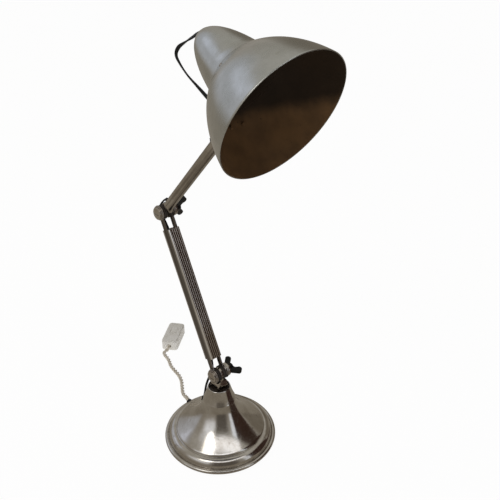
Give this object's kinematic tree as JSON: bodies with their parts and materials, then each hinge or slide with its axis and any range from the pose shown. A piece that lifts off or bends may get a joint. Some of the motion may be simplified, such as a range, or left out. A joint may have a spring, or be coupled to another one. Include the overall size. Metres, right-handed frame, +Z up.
{
  "type": "architect desk lamp",
  "caption": "Adjustable desk lamp: weighted bell base, two arms held by wing-nut clamps, a tilting domed shade with a rear cap, and a corded inline switch.",
  "frame": {"origin": "centre of the base's foot, on the table", "axes": "+X the way the shade reaches, +Y along the clamp bolts from bolt head to wing nut, +Z up"},
  "size_m": [0.4262, 0.2031, 0.6113],
  "materials": {
    "aged_nickel": "worn nickel plate",
    "worn_steel": "bare worn steel",
    "ballast_iron": "as cast",
    "cover_plate": "matt paint",
    "green_felt": "felt",
    "brass": "bare",
    "dark_fibre": "vulcanised fibre",
    "black_phenolic": "glossy moulding",
    "black_rubber": "matt",
    "satin_aluminium": "satin spun",
    "cream_terminal": "moulded",
    "brown_phenolic": "moulding",
    "white_porcelain": "glazed",
    "bulb_cap_metal": "pressed",
    "opal_glass": "inside frosted",
    "black_flex": "flat twin lead",
    "ivory_flex": "twisted flex",
    "ivory_switch": "moulding"
  },
  "bodies": {
    "base": {"base_shell": "aged_nickel", "base_weight": "ballast_iron", "base_plate": "cover_plate", "base_felt": "green_felt", "base_screws": "worn_steel", "stem": "aged_nickel", "neck_ring": "dark_fibre", "stem_washer": "worn_steel", "stem_nut": "brass", "lead_grommet": "black_rubber", "cord_grommet": "black_rubber", "terminal_block": "cream_terminal", "terminal_screws": "brass", "lead_base_drop": "black_flex", "mains_cord": "ivory_flex", "switch_base": "ivory_switch", "switch_cover": "ivory_switch", "switch_pin": "worn_steel", "switch_screws": "worn_steel"},
    "rocker": {"switch_rocker": "ivory_switch"},
    "lower_arm": {"lower_bolt": "aged_nickel", "lower_friction_washers": "dark_fibre", "lower_steel_washers": "worn_steel", "lower_collar_washer": "aged_nickel", "lower_arm": "aged_nickel", "elbow_bolt": "aged_nickel", "elbow_friction_washers": "dark_fibre", "elbow_steel_washers": "worn_steel", "elbow_collar_washer": "aged_nickel", "lead_lower_arm": "black_flex"},
    "lower_wing": {"lower_wing_nut": "black_phenolic", "lower_wing_insert": "brass"},
    "elbow_wing": {"elbow_wing_nut": "black_phenolic", "elbow_wing_insert": "brass"},
    "upper_arm": {"upper_arm": "aged_nickel", "elbow_lead_bush": "black_rubber", "head_lead_bush": "black_rubber", "lead_elbow": "black_flex", "lead_upper_arm": "black_flex", "lead_head_loop": "black_flex"},
    "shade": {"head_bolt": "aged_nickel", "head_friction_washers": "dark_fibre", "head_steel_washers": "worn_steel", "head_bracket": "aged_nickel", "bracket_rivets": "worn_steel", "shade_dome": "satin_aluminium", "shade_cap": "satin_aluminium", "shade_rivets": "worn_steel", "holder_nipple": "aged_nickel", "nipple_nut": "aged_nickel", "cap_lead_bush": "black_rubber", "holder_cap": "brown_phenolic", "holder_body": "brown_phenolic", "holder_insert": "white_porcelain", "holder_contact": "brass", "bulb_base": "bulb_cap_metal", "bulb_glass": "opal_glass"},
    "head_wing": {"head_wing_nut": "black_phenolic", "head_wing_insert": "brass"}
  },
  "joints": [
    {"name": "lower_hinge", "type": "hinge", "parent": "base", "child": "lower_arm", "pos_m": [0, 0, 0.118], "axis": [0, 1, 0], "range_deg": [-25, 45], "deforming": ["lead_base_drop"]},
    {"name": "elbow_hinge", "type": "hinge", "parent": "lower_arm", "child": "upper_arm", "pos_m": [-0.10959, 0, 0.3427], "axis": [0, 1, 0], "range_deg": [-45, 40], "deforming": ["lead_elbow"]},
    {"name": "head_tilt", "type": "hinge", "parent": "upper_arm", "child": "shade", "pos_m": [0.02758, 0, 0.49504], "axis": [0, 1, 0], "range_deg": [-50, 65], "deforming": ["lead_head_loop"]},
    {"name": "lower_wing_spin", "type": "hinge", "parent": "lower_arm", "child": "lower_wing", "pos_m": [0, 0.0154, 0.118], "axis": [0, 1, 0], "continuous": true},
    {"name": "elbow_wing_spin", "type": "hinge", "parent": "lower_arm", "child": "elbow_wing", "pos_m": [-0.10959, 0.0154, 0.3427], "axis": [0, 1, 0], "continuous": true},
    {"name": "head_wing_spin", "type": "hinge", "parent": "shade", "child": "head_wing", "pos_m": [0.02758, 0.0075, 0.49504], "axis": [0, 1, 0], "continuous": true},
    {"name": "switch_rock", "type": "hinge", "parent": "base", "child": "rocker", "pos_m": [-0.24369, 0.09273, 0.0156], "axis": [-0.788, -0.6157, 0], "range_deg": [0, 12]}
  ]
}
